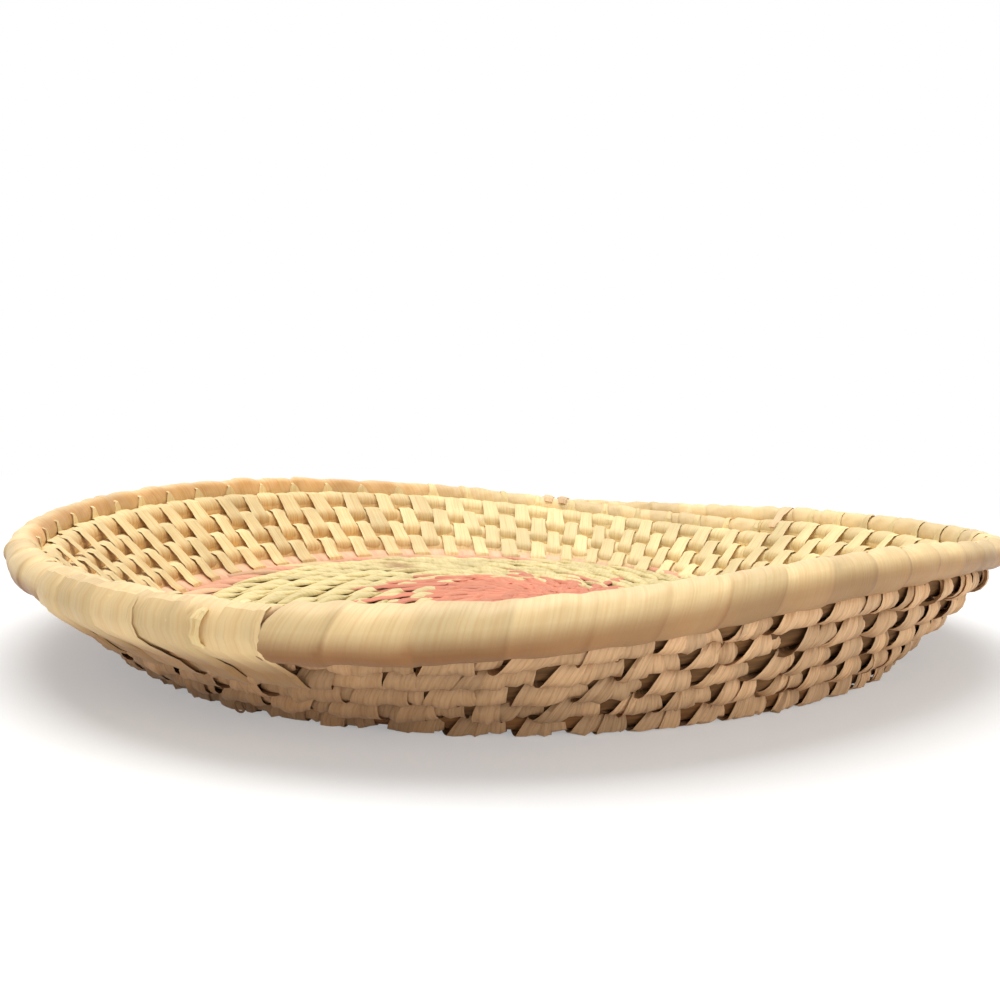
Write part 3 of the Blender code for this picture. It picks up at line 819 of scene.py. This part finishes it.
def rim_wraps():
    """The rim's overlapping wraps as one tube.

    The grid counts wraps from the raised edge at the front left, the same number of lines to each,
    so that a wrap's edge runs along a line of it. A line is slanted by the side angle. Along the
    rim each wrap rises slowly and drops at its edge: a saw tooth of a height that differs from
    wrap to wrap. On the inside the tube is drawn in at each narrow stitch.
    """
    rng = np.random.default_rng(50)
    start, end = RIM_START + 0.0005, TIP_END
    edge = edge_number()
    low, high = (stitch_number(np.array([start, end])) - edge) / WRAP_STEP
    first_line = math.ceil(low * WRAP_LINES + 0.5)
    last_line = math.floor(high * WRAP_LINES - 0.5)
    lines = np.arange(first_line, last_line + 1) / WRAP_LINES
    grid = np.concatenate([[low], lines, [high]])[:, None]
    number, angle = np.broadcast_arrays(grid, 180 + np.arange(RIM_SECTION) * 360 / RIM_SECTION)
    turned = np.radians(angle)
    wander = 0.04 * np.sin(1.3 * number) + 0.05 * np.sin(turned + 0.9 * number)
    slant = 0.10 * np.sin(turned) - 0.06 * np.cos(turned) + wander
    ends = smooth((number - low) / 2) * smooth((high - number) / 2)
    plain = edge + WRAP_STEP * (number - slant * ends)
    s = stitch_place(plain)
    wrap = np.floor(number + 1e-6)
    part = number - wrap
    heights = FOLD * rng.uniform(0.1, 1.0, MOST_WRAPS) ** 2
    which = (wrap - wrap.min()).astype(int)
    at_edge = int(-wrap.min())
    heights[at_edge:at_edge + len(FRONT_FOLDS)] = FOLD * FRONT_FOLDS
    saw = heights[which] * np.minimum(part / 0.92, (1 - part) / 0.08)
    inner = np.clip(-np.sin(turned), 0, 1)
    nearest = np.abs(plain - np.round(plain))
    puff = 0.75 * MM * smooth(number / 0.16) * (1 - smooth((number - 1) / 7))
    groove = -0.8 * MM * np.exp(-(number / 0.06) ** 2)
    drawn = -0.5 * MM * inner * np.clip(1 - nearest / 0.28, 0, 1) ** 1.5
    rough = 0.13 * MM * np.sin(4.3 * number + 1.1 * np.sin(2 * turned))
    rough = rough + 0.10 * MM * np.sin(9.7 * number + 2 * np.sin(3 * turned))
    taper = smooth((TIP_END - s) / 0.01)
    tight = 0.9 * MM * np.clip(-np.cos(turned), 0, 1) ** 4
    lift = 0.35 * MM + saw + drawn + rough + puff + groove + tight + rim_swell(s) * taper
    points = on_coil(s, angle, lift)
    middle = in_space(s[:, :1], coil_place(s[:, :1]))
    points = middle + (points - middle) * (0.15 + 0.85 * taper[..., None])
    coords = np.stack([number * FIBRES_ACROSS, (angle - 180) / 360.0], -1)
    tones = rng.uniform(0, 1, MOST_WRAPS)[which]
    around = turn_angle(s)
    # Painted shade on the inside of the rim at the left, and painted light that pales it at the
    # right
    amber = 1.9 * facing(around, 165, 0.25, 0.5) - 0.5
    inside = amber * inner * smooth((0.9 - np.cos(turned)) / 1.2)
    # Painted shade on the lower outside of the rim, a little weaker and reaching higher at the
    # right
    at_right = facing(around, 320, 0.5, 0.4)
    lowest = math.radians(112) - 0.25 * at_right
    outside = (1 - 0.25 * at_right) * smooth(np.cos(turned - lowest) / 0.85)
    # Painted shadow along the dropped edge of each wrap, deeper for taller wraps
    fold_shadow = 0.9 * heights[which] / MM * np.exp(-((1 - part) / 0.10) ** 2)
    fold_shadow = fold_shadow * smooth(1 + np.sin(turned))
    # The rim browns by painted shade below, along the wraps' edges and in the groove at the raised
    # edge
    worn = np.clip(outside + 0.9 * fold_shadow + np.exp(-(number / 0.05) ** 2), 0, 1)
    facts = {"tone": tones[None], "dive": (inside + 0.4 * outside)[None], "worn": worn[None]}
    grid_piece(
        "rim_wrap", points[None], coords[None], facts, rim_material(), ["rim_coil"],
        "natural_strip")


def rim_stitches():
    """Narrow stitches over the inside of the rim that open to a foot on the turn below it.

    At the left the rim's wraps hide them, so that only their feet show.
    """
    first = math.ceil(stitch_number(np.float64(RIM_START)))
    last = math.ceil(stitch_number(np.float64(RIM_END)))
    numbers = np.arange(first, last)
    around = np.degrees(turn_angle(stitch_place(numbers))) % 360
    hidden = (around > 108) & (around < 200)
    feet = RIM_INSIDE[:7] + ((0.0, 243, 0.00, 0.05, 0.50), (0.0, 256, 0.01, 0.03, -0.2))
    inside = strips(numbers[~hidden], RIM_INSIDE, seed=60, wander=0.02)
    grid_piece("rim_strips_inside", *inside, strip_material(), ["rim_stitches"], "natural_strip")
    at_left = strips(numbers[hidden], feet, seed=59, wander=0.02)
    grid_piece("rim_feet", *at_left, strip_material(), (), "natural_strip")
    outside = fans(numbers, RIM_OUTSIDE, 61)
    grid_piece("rim_strips_outside", *outside, outside_material(), (), "natural_strip")


DOWN_WRAPS = (
    (0.0, 318, -0.04, 0.26, 0.00),
    (0.0, 345, -0.04, 0.27, 0.35),
    (0.0, 375, -0.04, 0.28, 0.50),
    (0.0, 405, -0.04, 0.29, 0.55),
    (0.0, 435, -0.02, 0.29, 0.60),
    (0.0, 465, 0.03, 0.28, 0.65),
    (0.6, 446, 0.05, 0.27, 1.00),
    (1.0, 440, 0.08, 0.26, 1.40),
    (1.0, 470, 0.10, 0.25, 1.30),
    (1.5, 448, 0.12, 0.24, 1.20),
    (2.0, 440, 0.13, 0.23, 1.20),
    (2.0, 470, 0.14, 0.22, 1.00),
    (2.0, 500, 0.14, 0.20, 0.60),
    (2.0, 525, 0.14, 0.18, 0.00),
)

NUB = (
    (0.0, 354, 0.03, 0.04, 0.80),
    (0.0, 364, 0.02, 0.08, 1.70),
    (0.0, 378, 0.00, 0.09, 2.20),
    (0.0, 391, -0.01, 0.055, 1.60),
    (0.0, 403, -0.01, 0.075, 2.10),
    (0.0, 418, 0.00, 0.06, 1.70),
    (0.0, 432, 0.03, 0.03, 0.70),
)

TIP_WRAPS = (
    (1.0, 240, 0.00, 0.11, 0.50),
    (1.0, 265, 0.00, 0.13, 0.60),
    (1.0, 295, 0.00, 0.13, 0.60),
    (0.5, 275, 0.00, 0.13, 0.60),
    (0.0, 262, 0.00, 0.17, 0.30),
    (0.0, 300, 0.00, 0.18, 0.40),
    (0.0, 340, 0.02, 0.18, 0.40),
    (0.0, 380, 0.04, 0.18, 0.40),
    (0.0, 420, 0.06, 0.17, 0.40),
    (0.5, 450, 0.08, 0.13, 0.60),
    (1.0, 455, 0.10, 0.12, 0.60),
    (1.0, 485, 0.12, 0.10, 0.30),
)


OVER_LIFT = 1.55
DOWN_WRAP_COUNT = 9
DOWN_WRAP_STEP = 0.4


def rim_details():
    """Loose ends of the rim.

    They are slanting wraps and a nub at the front left, and wraps round the tapered end.
    """
    edge = edge_number()
    numbers = edge - 0.26 - np.arange(DOWN_WRAP_COUNT) * DOWN_WRAP_STEP
    over = [(*station[:4], OVER_LIFT * station[4]) for station in DOWN_WRAPS]
    creased = {"wander": 0.05, "columns": FAN_COLUMNS, "top": FAN_TOP, "creases": 0.35}
    wraps = joined([
        strips(numbers[::2], over, 90, **creased),
        strips(numbers[1::2], DOWN_WRAPS, 93, **creased)])
    nub = strips([edge - 0.68], NUB, seed=91, wander=0, columns=FAN_COLUMNS, top=1.6 * FAN_TOP)
    # Painted shade: the slanting wraps brown from a quarter of the way down to their ends
    fall = np.linspace(0, 1, wraps[0].shape[1])[None, :, None]
    wraps[2]["worn"] = 0.10 + 0.65 * smooth((fall - 0.25) / 0.4)
    grid_piece("rim_slanting_wraps", *wraps, rim_material(), (), "natural_strip")
    grid_piece("rim_nub", *nub, strip_material(), (), "natural_strip")
    tip = float(stitch_number(np.float64(TIP_END)))
    start = float(stitch_number(np.float64(RIM_END)))
    ends = strips([tip - 0.05, tip + 0.35, start - 0.35], TIP_WRAPS, seed=92, wander=0.02)
    # Strip that light has faded to a pinkish tan, less glossy than the rest of the rim
    pinkish = leaf_strip("faded_tip_wrap", TIP_PALE, TIP_DEEP, 0.55, 0.2)
    grid_piece("rim_end_wraps", *ends, pinkish, (), "faded_strip")


LEAF_COLUMNS = np.array([-1.0, -0.78, -0.3, 0.3, 0.78, 1.0, 0.0])
LEAF_TOP = np.array([0.05, 0.65, 1.0, 1.0, 0.65, 0.05, -0.2])
# Share of painted shade across a floor stitch or petal: most at its edges
LEAF_EDGE = np.array([1.0, 0.25, 0.0, 0.0, 0.25, 1.0, 1.0])
LEAF_SLANT = 1.75
LEAF_FULLNESS = 0.54
UPPER_LEAF, UNDER_LEAF = 1.05 * MM, 0.5 * MM
STAIN = (-40.3 * MM, 60.0 * MM)
STAIN_TURN = math.radians(-67)
STAIN_REACH = (12 * MM, 3.6 * MM)


def on_floor(s, pitches, lift, upper):
    """A point on the stitched face of the floor, some pitches outwards from the coil at s.

    It lies between the coil and its neighbour, as high as the coil is thick there, less a dip
    that is the sine squared of half a turn to a pitch.
    """
    near = coil_place(s)
    far = coil_place(s + np.where(pitches < 0, -1.0, 1.0))
    plane = near + (far - near) * np.abs(pitches)[..., None]
    half = SIDE_RATIO * half_height(s)
    height = half * (1 - 0.22 * np.sin(math.pi * pitches) ** 2) + lift
    radius = np.maximum(plane[..., 0], 0.2 * MM)
    return in_space(s, np.stack([radius, plane[..., 1] + upper * height], -1))


def stained(points):
    """Depth of the one stain on the floor: a Gaussian that is long towards the star."""
    x, y = points[..., 0] - STAIN[0], points[..., 1] - STAIN[1]
    along = (x * math.cos(STAIN_TURN) + y * math.sin(STAIN_TURN)) / STAIN_REACH[0]
    across = (y * math.cos(STAIN_TURN) - x * math.sin(STAIN_TURN)) / STAIN_REACH[1]
    return 0.95 * np.exp(-along ** 2 - across ** 2)


def bleached(points, seed):
    """How far the sun has bleached the ring: chance from stitch to stitch, and most at the back."""
    rng = np.random.default_rng(seed)
    x, y = axis_place()
    around = np.arctan2(points[..., 1] - y, points[..., 0] - x)
    chance = rng.uniform(-0.55, 0.65, (len(points), 1, 1))
    return np.clip(chance + 0.4 * facing(around, 80, 0, 1), 0, 0.9)


def leaves(places, seed, thickness, upper):
    """Floor stitches that cross the coil slantwise, each a drop that is pointed at its inner end.

    Along the drop the place goes from two thirds of a pitch inside the coil to two thirds outside,
    and along the coil by the slant. The half width follows a half wave that is fullest past its
    middle. The pointed end lies on top of the turn before and the blunt end dips under the next.
    """
    rng = np.random.default_rng(seed)
    steps = 7
    t = np.linspace(0.0, 1.0, steps)
    count = len(places)
    shape = (count, steps, len(LEAF_COLUMNS))
    each = (count, 1, 1)
    radius = np.maximum(coil_place(places)[:, 0], 1.5 * MM)
    turn_share = sizes().leaf_spacing / (2 * math.pi * radius)
    lean = LEAF_SLANT * (t - 0.5)[None, :] * (1 + rng.normal(0, 0.18, (count, 1)))
    wave = 0.04 + 0.96 * np.sin(math.pi * t ** 1.25) ** 0.8
    half = LEAF_FULLNESS * wave[None, :] * (1 + rng.normal(0, 0.14, (count, 1)))
    moved = lean[..., None] + half[..., None] * LEAF_COLUMNS + rng.normal(0, 0.07, each)
    s = places[:, None, None] + moved * turn_share[:, None, None]
    reach = np.linspace(-0.72, 0.68, steps)[None, :, None] + rng.normal(0, 0.04, each)
    dome = wave[None, :, None] ** 0.6
    ease = (0.45 - 0.75 * t)[None, :, None] * MM
    height = ease + thickness * LEAF_TOP[None, None, :] * dome * (1 + rng.normal(0, 0.15, each))
    points = on_floor(s, np.broadcast_to(reach, shape), np.broadcast_to(height, shape), upper)
    across = moved * 10 + rng.uniform(0, 40, each)
    coords = np.stack(np.broadcast_arrays(across, t[None, :, None]), -1)
    # Painted shade: the floor stitches go deeper at both ends and along their edges
    ends = np.abs(2 * t - 1)[None, :, None] ** 3
    facts = {
        "tone": rng.uniform(0, 1, each),
        "dive": 0.6 * ends + 1.2 * LEAF_EDGE,
        "worn": stained(points) if upper > 0 else 0.0,
    }
    return points, coords, facts


def floor_places(spacing):
    """Places of the floor stitches: evenly apart along the length of the spiral."""
    s = np.linspace(coil_start() + 0.15, 0.04, 20000)
    radius = coil_place(s)[:, 0]
    steps = 2 * math.pi * (radius[1:] + radius[:-1]) / 2 * np.diff(s)
    length = np.concatenate([[0], np.cumsum(steps)])
    return np.interp(np.arange(0, length[-1], spacing), length, s)


def star_share(places):
    """How deep a place lies in a ray of the star: 1 in the middle of a ray, 0 between rays."""
    index = turn_angle(places) / (2 * math.pi) * sizes().star_rays
    return 1 - 2 * np.abs(index - np.round(index))


def floor_parts(places):
    """Which stitches are dyed for the star, which for the ring, and which are plain."""
    turn = places - coil_start()
    star = turn < 2.4 + 1.2 * star_share(places)
    ring = places > -0.9
    return star, ring, ~(star | ring)


def petals(layers, seed):
    """Long dyed strips that radiate from the middle of the star.

    A layer is (first radius, last radius, half width, strips to a ray, share of them kept). Each
    strip is a drop in plan, with a small twist, laid on the crests of the floor.
    """
    p = sizes()
    rng = np.random.default_rng(seed)
    steps = 9
    t = np.linspace(0.0, 1.0, steps)[None, :, None]
    sets = []
    for order, (inner, outer, half_width, to_ray, kept) in enumerate(layers):
        turned = (np.arange(p.star_rays * to_ray) + 0.5 * (to_ray - 1)) / (p.star_rays * to_ray)
        turned = turned[rng.uniform(0, 1, len(turned)) < kept] * 2 * math.pi
        each = (len(turned), 1, 1)
        shape = (len(turned), steps, len(LEAF_COLUMNS))
        start = inner + rng.normal(0, 0.06, each) * (outer - inner)
        end = outer + rng.normal(0, 0.08, each) * (outer - inner)
        radius = start + (end - start) * t
        wave = 0.06 + 0.94 * np.sin(math.pi * (0.1 + 0.9 * t) ** 1.3) ** 0.7
        sideways = half_width * wave * LEAF_COLUMNS * (1 + rng.normal(0, 0.15, each))
        bend = rng.normal(0, 0.08, each) * (t - 0.5) + 0.22 * (t - 0.3)
        angle = turned[:, None, None] + bend + sideways / np.maximum(radius, half_width)
        angle = np.broadcast_to(angle, shape)
        rows = (radius / (p.base_radius * outline_factor(angle)) - 1) * floor_turns()
        crest = level_place(rows, angle)[..., 1] + SIDE_RATIO * p.core_half * outline_factor(angle)
        ripple = 0.16 * MM * np.sin(2 * math.pi * radius / p.coil_pitch)
        top = 0.55 * MM * LEAF_TOP * wave ** 0.6
        height = crest + ripple + (0.7 - 0.18 * order - 0.5 * t) * MM + top
        x, y = axis_place()
        reach = np.broadcast_to(radius, shape)
        points = np.stack([x + reach * np.cos(angle), y + reach * np.sin(angle), height], -1)
        across = sideways / (0.5 * MM) + rng.uniform(0, 40, each)
        coords = np.stack(np.broadcast_arrays(across, t * 2), -1)
        # Painted shade: the petals go deeper at their outer ends and along their edges
        facts = {"tone": rng.uniform(0, 1, each), "dive": 0.5 * t ** 4 + 0.9 * LEAF_EDGE}
        sets.append((points, coords, facts))
    return joined(sets)


STAR_LAYERS = (
    (33 * MM, 58 * MM, 2.2 * MM, 2, 0.5),
    (21 * MM, 47 * MM, 2.9 * MM, 2, 1.0),
    (10 * MM, 36 * MM, 2.7 * MM, 2, 1.0),
    (1.2 * MM, 25 * MM, 2.6 * MM, 1, 1.0),
)


def floor_stitches():
    """Undyed, dyed and faded stitches of the floor, on its top and its underside."""
    c = colours()
    places = floor_places(sizes().leaf_spacing)
    star, ring, plain = floor_parts(places)
    # Leaf strip as it grew, dyed salmon pink, and dyed pink that the sun has washed out
    natural = leaf_strip("dried_leaf_stitch", c.floor_pale, FLOOR_DEEP, 0.5, 0.14)
    dyed = leaf_strip("dyed_leaf_stitch", c.dyed, DYED_DEEP, 0.55, 0.12)
    washed = leaf_strip("faded_leaf_stitch", c.faded, FADED_DEEP, 0.55, 0.18, worn_and_shaded_to=c.floor_pale)
    rays = sorted(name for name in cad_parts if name.startswith("star_ray_"))
    for name, which, material, nodes, slot, seed in (
        ("floor_stitches_plain", plain, natural, (), "natural_strip", 70),
        ("star_stitches", star, dyed, rays, "dyed_strip", 71),
        ("floor_ring_leaves", ring, washed, ["floor_ring_stitches"], "faded_strip", 72),
    ):
        chosen = places[which]
        upper = leaves(chosen, seed, UPPER_LEAF, 1.0)
        under = leaves(chosen, seed + 10, UNDER_LEAF, -1.0)
        if which is ring:
            upper[2]["worn"] = bleached(upper[0], seed)
        grid_piece(name, *joined([upper, under]), material, nodes, slot)
    grid_piece("star_petals", *petals(STAR_LAYERS, 73), dyed, (), "dyed_strip")
    start_twist(dyed)
    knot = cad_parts["start_knot"]
    knot.data.materials.clear()
    knot.data.materials.append(dyed_knot(c.dyed))


def start_twist(material):
    """The tight twist that the coil starts from.

    It is a lens on the axis, whose radius is a half wave of the height.
    """
    s = coil_start()
    middle = float(coil_place(np.array([s]))[0, 1])
    x, y = axis_place()
    t = np.linspace(0.0, 1.0, 9)[:, None]
    turned = np.linspace(0, 2 * math.pi, 24, endpoint=False)[None, :]
    radius = (0.2 + 7.0 * np.sin(math.pi * t)) * MM * (1 + 0.03 * np.sin(5 * turned))
    height = middle + 2.2 * MM * (2 * t - 1) + 0 * turned
    points = np.stack([x + radius * np.cos(turned), y + radius * np.sin(turned), height], -1)
    coords = np.stack(np.broadcast_arrays(8 * turned, t), -1)
    grid_piece("start_twist", points[None], coords[None], {"tone": 0.4}, material, (), "dyed_strip")


def dyed_knot(colour):
    """Dyed leaf strip knotted tight: matt salmon pink with fine creases about 1 mm apart."""
    made, tree, shader = new_material("dyed_leaf_knot", Roughness=0.6)
    place = add(tree, "TexCoord", {})
    creases = add(tree, "TexNoise", {
        "Vector": place.outputs["Object"], "Scale": 900.0, "Detail": 2.0})
    deep = [0.55 * part for part in linear(colour)[:3]] + [1.0]
    mixed = add(
        tree, "Mix", {0: creases.outputs["Fac"], 6: linear(colour), 7: deep}, data_type="RGBA")
    tree.links.new(mixed.outputs[2], shader.inputs["Base Color"])
    bump = add(tree, "Bump", {
        "Height": creases.outputs["Fac"], "Strength": 0.6, "Distance": 0.3 * MM})
    tree.links.new(bump.outputs[0], shader.inputs["Normal"])
    return made


class BASKET_OT_coil(bpy.types.Operator):
    """Make the grass coil of the floor and the wall"""

    bl_idname = "basket.coil"
    bl_label = "Grass coil"

    def execute(self, context):
        c = colours()
        # The dye has washed into the floor's grass and its wraps; in the wall both are undyed
        floor = coil_material("washed_pink_floor_coil", PINK_COIL, PINK_COIL_DEEP, PINK_COIL_GRASS)
        wall = coil_material("wrapped_grass_coil", c.strip_pale, c.strip_deep, c.grass)
        coil_tube("floor_coil", coil_start(), 1.0, 60, 20, floor, ["base_coil"], "grass_coil")
        coil_tube(
            "wall_coil_bundle", 1.0, float(RIM_START), 80, 20, wall, ["wall_coil"], "grass_coil")
        return {"FINISHED"}


class BASKET_OT_wall(bpy.types.Operator):
    """Bind the wall with its rows of long stitches"""

    bl_idname = "basket.wall"
    bl_label = "Wall stitches"

    def execute(self, context):
        for row in range(1, WALL_TURNS + 1):
            wall_row(row)
        loose_loop()
        return {"FINISHED"}


class BASKET_OT_rim(bpy.types.Operator):
    """Wrap the rim and stitch it to the wall"""

    bl_idname = "basket.rim"
    bl_label = "Rim"

    def execute(self, context):
        rim_wraps()
        rim_stitches()
        rim_details()
        return {"FINISHED"}


class BASKET_OT_floor(bpy.types.Operator):
    """Stitch the floor with its star and its ring"""

    bl_idname = "basket.floor"
    bl_label = "Floor stitches"

    def execute(self, context):
        floor_stitches()
        return {"FINISHED"}


def seen_plainly(tree):
    """1 for the camera's own rays and for those off gloss or through glass, 0 for all others."""
    ray = add(tree, "LightPath", {})
    seen = 0.0
    for kind in ("Is Camera Ray", "Is Glossy Ray", "Is Transmission Ray"):
        seen = add(tree, "Math", {0: seen, 1: ray.outputs[kind]}, operation="MAXIMUM").outputs[0]
    return seen


def floor_material():
    """Pale studio paper: matt white, lit by the lamps near the tray and plain white further off."""
    made, tree, shader = new_material("pale_paper", Base_Color=linear("#F7F7F5"), Roughness=0.9)
    place = add(tree, "TexCoord", {})
    far = add(tree, "VectorMath", {0: place.outputs["Object"]}, operation="LENGTH")
    # Painted light: near the tray, camera and gloss rays see the paper 35 per cent white, which
    # lightens the tray's shadow
    share = add(tree, "MapRange", {
        "Value": far.outputs["Value"], "From Min": 0.15, "From Max": 0.5, "To Min": 0.35,
    }, interpolation_type="SMOOTHSTEP")
    shown = add(tree, "Math", {0: share.outputs[0], 1: seen_plainly(tree)}, operation="MULTIPLY")
    white = add(tree, "Emission", {"Color": (1, 1, 1, 1), "Strength": 1.0})
    both = add(tree, "MixShader", {0: shown.outputs[0], 1: shader.outputs[0], 2: white.outputs[0]})
    tree.links.new(both.outputs[0], tree.nodes["Material Output"].inputs["Surface"])
    return made


FLOOR_RADIUS = 6.0


def stage_floor():
    """A flat round floor under the tray: a fan of points on a circle."""
    turns = np.linspace(0, 2 * math.pi, 96, endpoint=False)
    rim = FLOOR_RADIUS * np.stack([np.cos(turns), np.sin(turns), np.zeros(96)], -1)
    mesh = bpy.data.meshes.new("studio_floor")
    mesh.from_pydata(rim.tolist(), [], [list(range(96))])
    mesh.materials.append(floor_material())
    new_object("studio_floor", mesh)


def lamp(name, power, size, place, target):
    """A square soft lamp at a place, turned to a target."""
    light = bpy.data.lights.new(name, "AREA")
    light.energy = power
    light.size = size
    item = new_object(name, light)
    item.location = place
    toward = direction(np.array(target) - np.array(place))
    side = direction(np.cross(toward, [0.0, 0.001, 1.0]))
    top = np.cross(side, toward)
    turned = Matrix((side, top, -toward)).transposed()
    item.rotation_euler = turned.to_euler()


def world_light(strength):
    """Even light from all sides, and plain white where the camera or gloss looks past the tray."""
    world = bpy.data.worlds.new("studio_world")
    bpy.context.scene.world = world
    world.use_nodes = True
    tree = world.node_tree
    even = tree.nodes["Background"]
    even.inputs["Color"].default_value = (1, 1, 1, 1)
    even.inputs["Strength"].default_value = strength
    white = add(tree, "Background", {"Color": (1, 1, 1, 1), "Strength": 1.0})
    both = add(tree, "MixShader", {0: seen_plainly(tree), 1: even.outputs[0], 2: white.outputs[0]})
    tree.links.new(both.outputs[0], tree.nodes["World Output"].inputs["Surface"])


CAMERA_PLACE = (4.29 * MM, -419.24 * MM, 88.51 * MM)
CAMERA_TURN = (-0.0226, -0.1172, 0.023)


def camera():
    """The photograph's camera: close in front, a little above the rim and rolled a little."""
    yaw, pitch, roll = CAMERA_TURN
    flat = math.cos(pitch)
    forward = np.array([math.sin(yaw) * flat, math.cos(yaw) * flat, math.sin(pitch)])
    right = direction(np.cross(forward, [0.0, 0.0, 1.0]))
    up = np.cross(right, forward)
    right, up = (
        right * math.cos(roll) + up * math.sin(roll), up * math.cos(roll) - right * math.sin(roll))
    data = bpy.data.cameras.new("photo_camera")
    data.lens = bpy.context.scene.basket_studio.lens
    data.sensor_width = 36
    data.clip_start = 0.01
    item = new_object("photo_camera", data)
    item.location = CAMERA_PLACE
    item.rotation_euler = Matrix((right, up, -forward)).transposed().to_euler()
    bpy.context.scene.camera = item


class BASKET_OT_stage(bpy.types.Operator):
    """Set the floor, the lamps, the white surround and the camera"""

    bl_idname = "basket.stage"
    bl_label = "Studio"

    def execute(self, context):
        studio = context.scene.basket_studio
        stage_floor()
        lamp("key_lamp", studio.key_power, 1.0, (-0.1, 0.15, 1.05), (0.0, 0.0, 0.0))
        lamp("fill_lamp", studio.fill_power, 0.8, (0.6, -0.95, 0.42), (0.0, 0.0, 0.02))
        world_light(studio.sky)
        camera()
        context.scene.view_settings.view_transform = "Standard"
        return {"FINISHED"}


class BASKET_PT_panel(bpy.types.Panel):
    """The basket's pieces in the sidebar"""

    bl_idname = "BASKET_PT_panel"
    bl_label = "Basket tray"
    bl_space_type = "VIEW_3D"
    bl_region_type = "UI"
    bl_category = "Basket"

    def draw(self, context):
        scene = context.scene
        for group in (scene.basket_sizes, scene.basket_colours, scene.basket_studio):
            box = self.layout.box()
            for key in group.__annotations__:
                box.prop(group, key)
        for operator in OPERATORS:
            self.layout.operator(operator.bl_idname)


GROUPS = {
    "basket_sizes": BasketSizes,
    "basket_colours": BasketColours,
    "basket_studio": StudioSettings,
}
OPERATORS = (BASKET_OT_coil, BASKET_OT_wall, BASKET_OT_rim, BASKET_OT_floor, BASKET_OT_stage)


def register():
    """Register the property groups, the operators and the panel."""
    for name, group in GROUPS.items():
        bpy.utils.register_class(group)
        setattr(bpy.types.Scene, name, bpy.props.PointerProperty(type=group))
    for operator in OPERATORS:
        bpy.utils.register_class(operator)
    bpy.utils.register_class(BASKET_PT_panel)


def unregister():
    """Take the same off again, last first."""
    bpy.utils.unregister_class(BASKET_PT_panel)
    for operator in reversed(OPERATORS):
        bpy.utils.unregister_class(operator)
    for name, group in reversed(GROUPS.items()):
        delattr(bpy.types.Scene, name)
        bpy.utils.unregister_class(group)


def main():
    register()
    bpy.ops.basket.coil()
    bpy.ops.basket.wall()
    bpy.ops.basket.rim()
    bpy.ops.basket.floor()
    bpy.ops.basket.stage()


if __name__ == "__main__":
    main()
